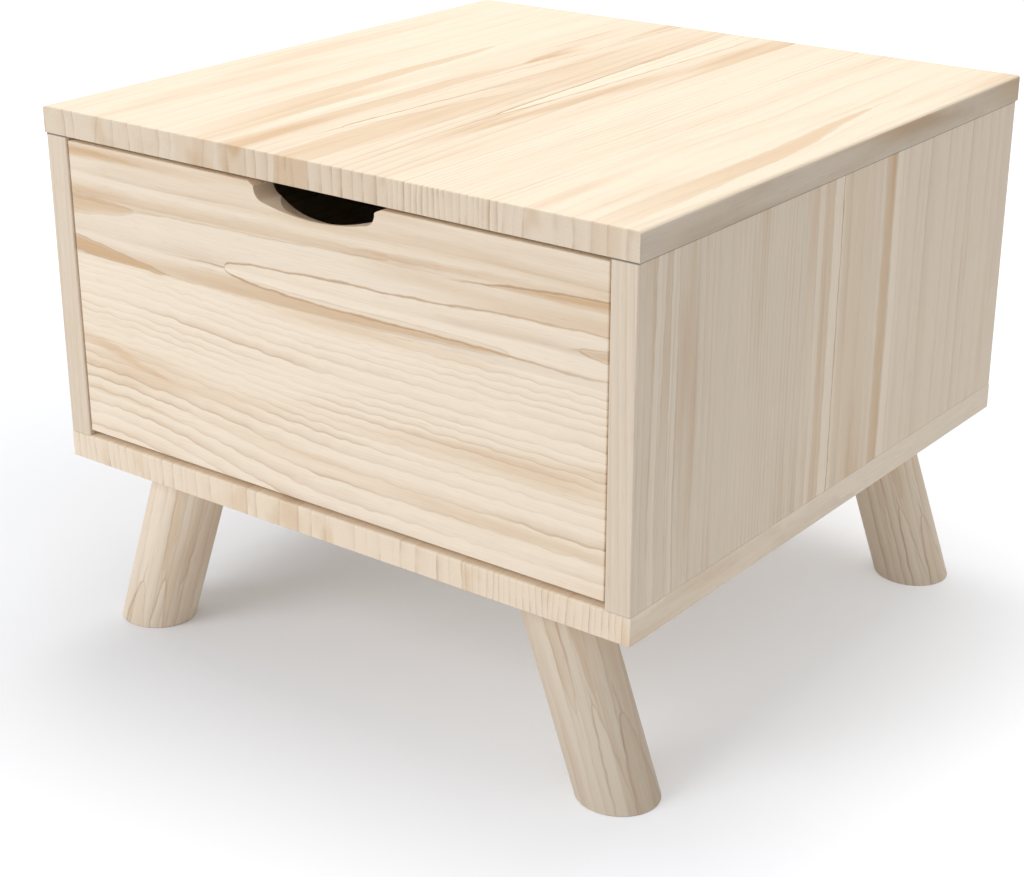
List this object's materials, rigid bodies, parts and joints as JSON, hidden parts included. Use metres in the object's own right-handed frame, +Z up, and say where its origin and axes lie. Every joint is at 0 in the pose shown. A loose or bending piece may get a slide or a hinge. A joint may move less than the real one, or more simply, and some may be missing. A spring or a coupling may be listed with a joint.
{
  "type": "nightstand",
  "caption": "Square bedside cabinet of solid pine boards with a drawer on roller runners, a scooped finger cut-out in the drawer front and splayed round legs.",
  "frame": {"origin": "on the floor, under the middle of the top board", "axes": "+Z up, +X to the right as seen from the front, the drawer faces and opens towards -Y"},
  "size_m": [0.5, 0.5, 0.4],
  "materials": {
    "pine": "edge-glued solid pine, sanded and left raw",
    "plywood": "thin birch-faced plywood, sanded",
    "beech": "turned beech dowel",
    "brass": "turned, as machined",
    "steel": "bright zinc plate",
    "enamel": "smooth white powder coat",
    "nylon": "natural white nylon"
  },
  "bodies": {
    "cabinet": {"top_board": "pine", "bottom_board": "pine", "side_board_left": "pine", "side_board_right": "pine", "back_panel": "plywood", "leg_front_left": "pine", "leg_front_right": "pine", "leg_back_left": "pine", "leg_back_right": "pine", "leg_inserts": "brass", "leg_bolts": "steel", "leg_washers": "steel", "leg_dowels": "beech", "case_dowels": "beech", "cam_bolts": "steel", "cam_locks": "steel", "case_screws": "steel", "case_runner_left": "enamel", "case_runner_right": "enamel", "case_runner_pins": "steel", "case_runner_screws": "steel"},
    "drawer": {"drawer_front": "pine", "drawer_side_left": "pine", "drawer_side_right": "pine", "drawer_back": "pine", "drawer_bottom": "plywood", "drawer_dowels": "beech", "drawer_back_screws": "steel", "drawer_bottom_screws": "steel", "drawer_runner_left": "enamel", "drawer_runner_right": "enamel", "drawer_runner_pins": "steel", "drawer_runner_screws": "steel"},
    "front_roller_left": {"front_roller_left": "nylon"},
    "front_roller_right": {"front_roller_right": "nylon"},
    "rear_roller_left": {"rear_roller_left": "nylon"},
    "rear_roller_right": {"rear_roller_right": "nylon"}
  },
  "joints": [
    {"name": "drawer_slide", "type": "slide", "parent": "cabinet", "child": "drawer", "axis": [0, -1, 0], "range_m": [0, 0.34]},
    {"name": "front_roller_left_spin", "type": "hinge", "parent": "cabinet", "child": "front_roller_left", "pos_m": [-0.2218, -0.2165, 0.1852], "axis": [1, 0, 0], "continuous": true},
    {"name": "front_roller_right_spin", "type": "hinge", "parent": "cabinet", "child": "front_roller_right", "pos_m": [0.2218, -0.2165, 0.1852], "axis": [1, 0, 0], "continuous": true},
    {"name": "rear_roller_left_spin", "type": "hinge", "parent": "drawer", "child": "rear_roller_left", "pos_m": [-0.2242, 0.2105, 0.1838], "axis": [1, 0, 0], "continuous": true},
    {"name": "rear_roller_right_spin", "type": "hinge", "parent": "drawer", "child": "rear_roller_right", "pos_m": [0.2242, 0.2105, 0.1838], "axis": [1, 0, 0], "continuous": true}
  ],
  "couplings": [
    {"joint": "front_roller_left_spin", "follows": "drawer_slide", "rad_per_m": 125},
    {"joint": "front_roller_right_spin", "follows": "drawer_slide", "rad_per_m": 125},
    {"joint": "rear_roller_left_spin", "follows": "drawer_slide", "rad_per_m": 125},
    {"joint": "rear_roller_right_spin", "follows": "drawer_slide", "rad_per_m": 125}
  ]
}
